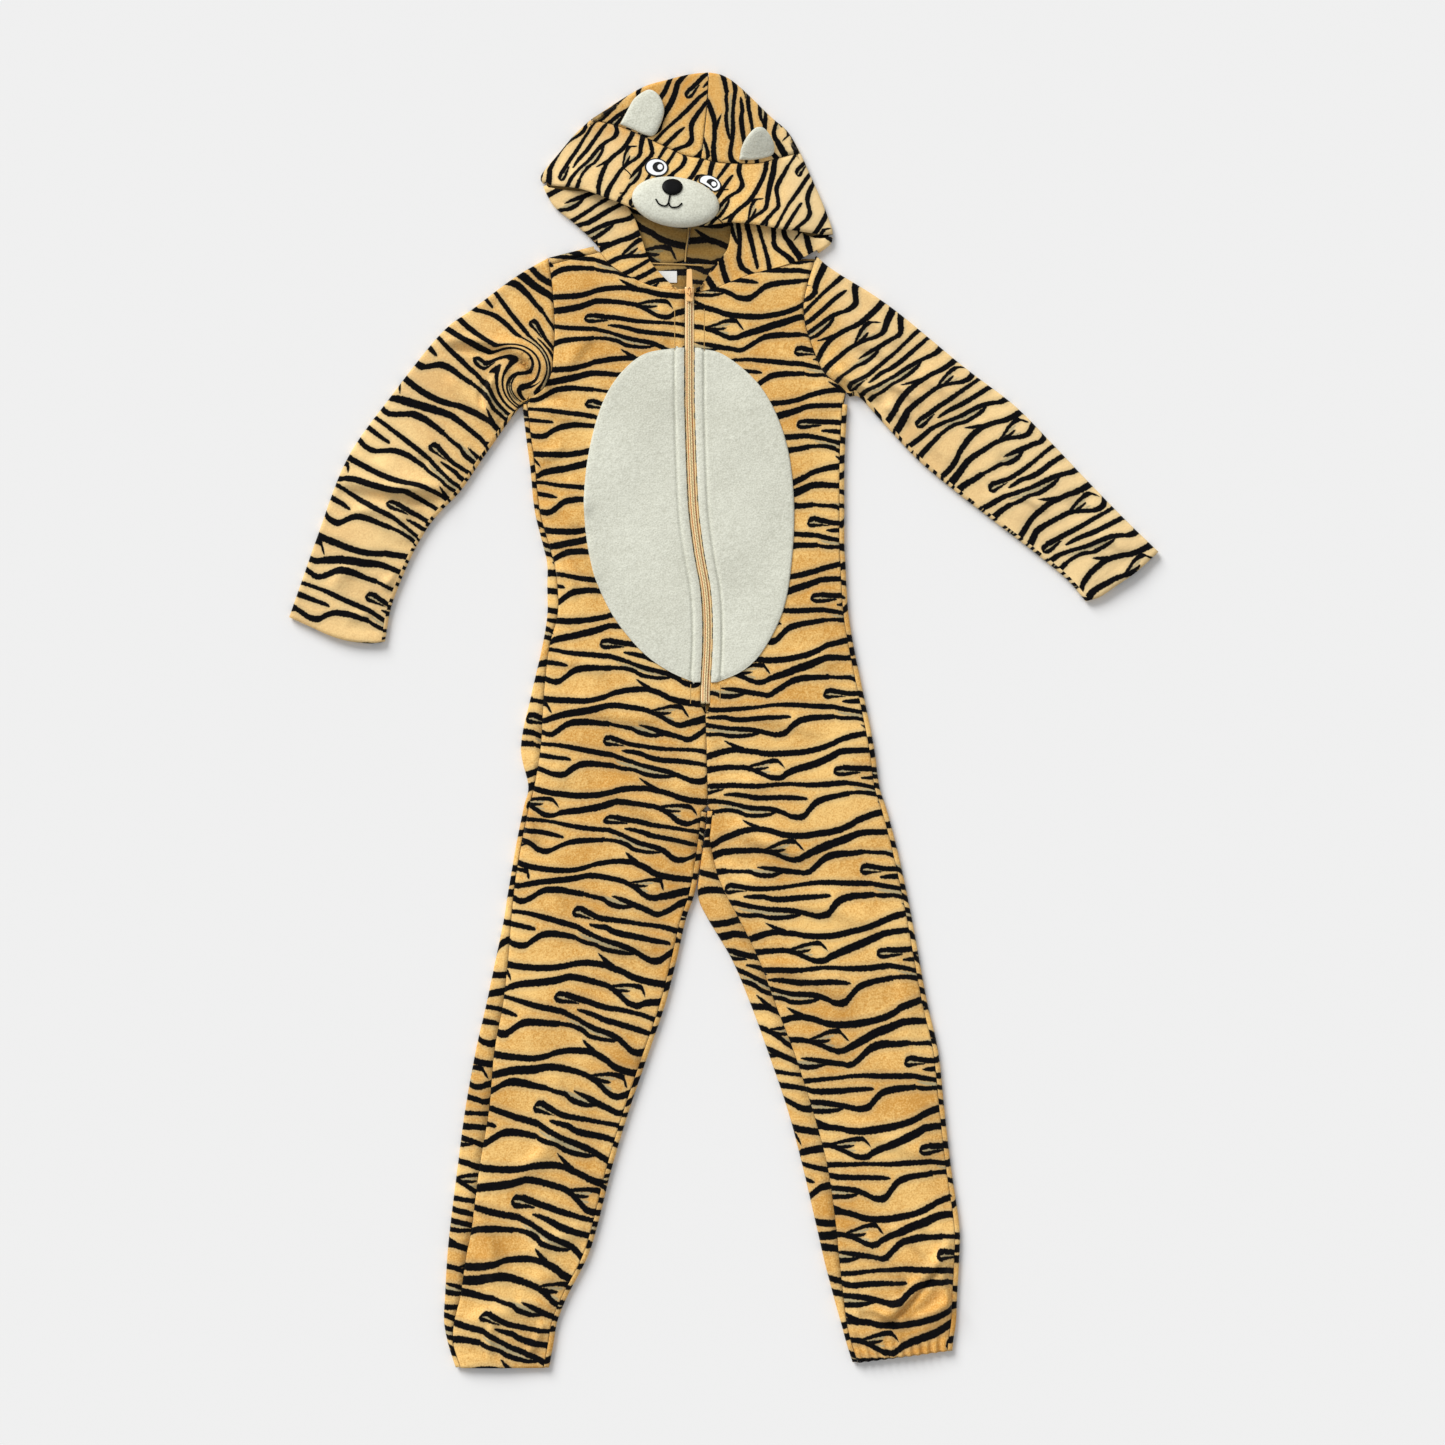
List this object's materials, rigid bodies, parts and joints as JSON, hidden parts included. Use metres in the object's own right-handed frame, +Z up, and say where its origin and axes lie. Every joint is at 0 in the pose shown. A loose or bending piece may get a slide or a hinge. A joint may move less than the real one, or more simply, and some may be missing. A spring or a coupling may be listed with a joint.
{
  "type": "child's hooded onesie",
  "caption": "Child's fleece onesie laid flat, with a padded animal-face hood, front zip with a hinged pull, cream belly panel, long sleeves and tapered legs.",
  "frame": {"origin": "centre of the bounding box in plan, on the surface that the garment lies on", "axes": "+X to the wearer's left, +Y from the feet to the hood, +Z up from the table"},
  "size_m": [0.8243, 1.2286, 0.0293],
  "materials": {
    "striped_fleece": "short-pile fleece, printed with tiger stripes",
    "cream_fleece": "short-pile fleece",
    "black_satin": "satin",
    "white_felt": "dense felt and satin stitch",
    "orange_tape": "woven tape",
    "orange_coil": "dyed coil",
    "orange_metal": "satin paint",
    "label_cloth": "woven tape"
  },
  "bodies": {
    "garment": {"front_right": "striped_fleece", "front_left": "striped_fleece", "back_right": "striped_fleece", "back_left": "striped_fleece", "sleeve_right": "striped_fleece", "sleeve_left": "striped_fleece", "hood_side_right": "striped_fleece", "hood_side_left": "striped_fleece", "hood_band": "striped_fleece", "hood_front_right": "striped_fleece", "hood_front_left": "striped_fleece", "ear_right": "cream_fleece", "ear_left": "cream_fleece", "muzzle": "cream_fleece", "nose": "black_satin", "eye_right": "white_felt", "eye_left": "white_felt", "belly_right": "cream_fleece", "belly_left": "cream_fleece", "zip_tape_right": "orange_tape", "zip_tape_left": "orange_tape", "zip_chain": "orange_coil", "zip_slider": "orange_metal", "neck_label": "label_cloth"},
    "pull_tab": {"zip_pull": "orange_metal"}
  },
  "joints": [
    {"name": "pull_hinge", "type": "hinge", "parent": "garment", "child": "pull_tab", "pos_m": [-0.0325, 0.4047, 0.01225], "axis": [1, 0, 0], "range_deg": [0, 172]}
  ]
}
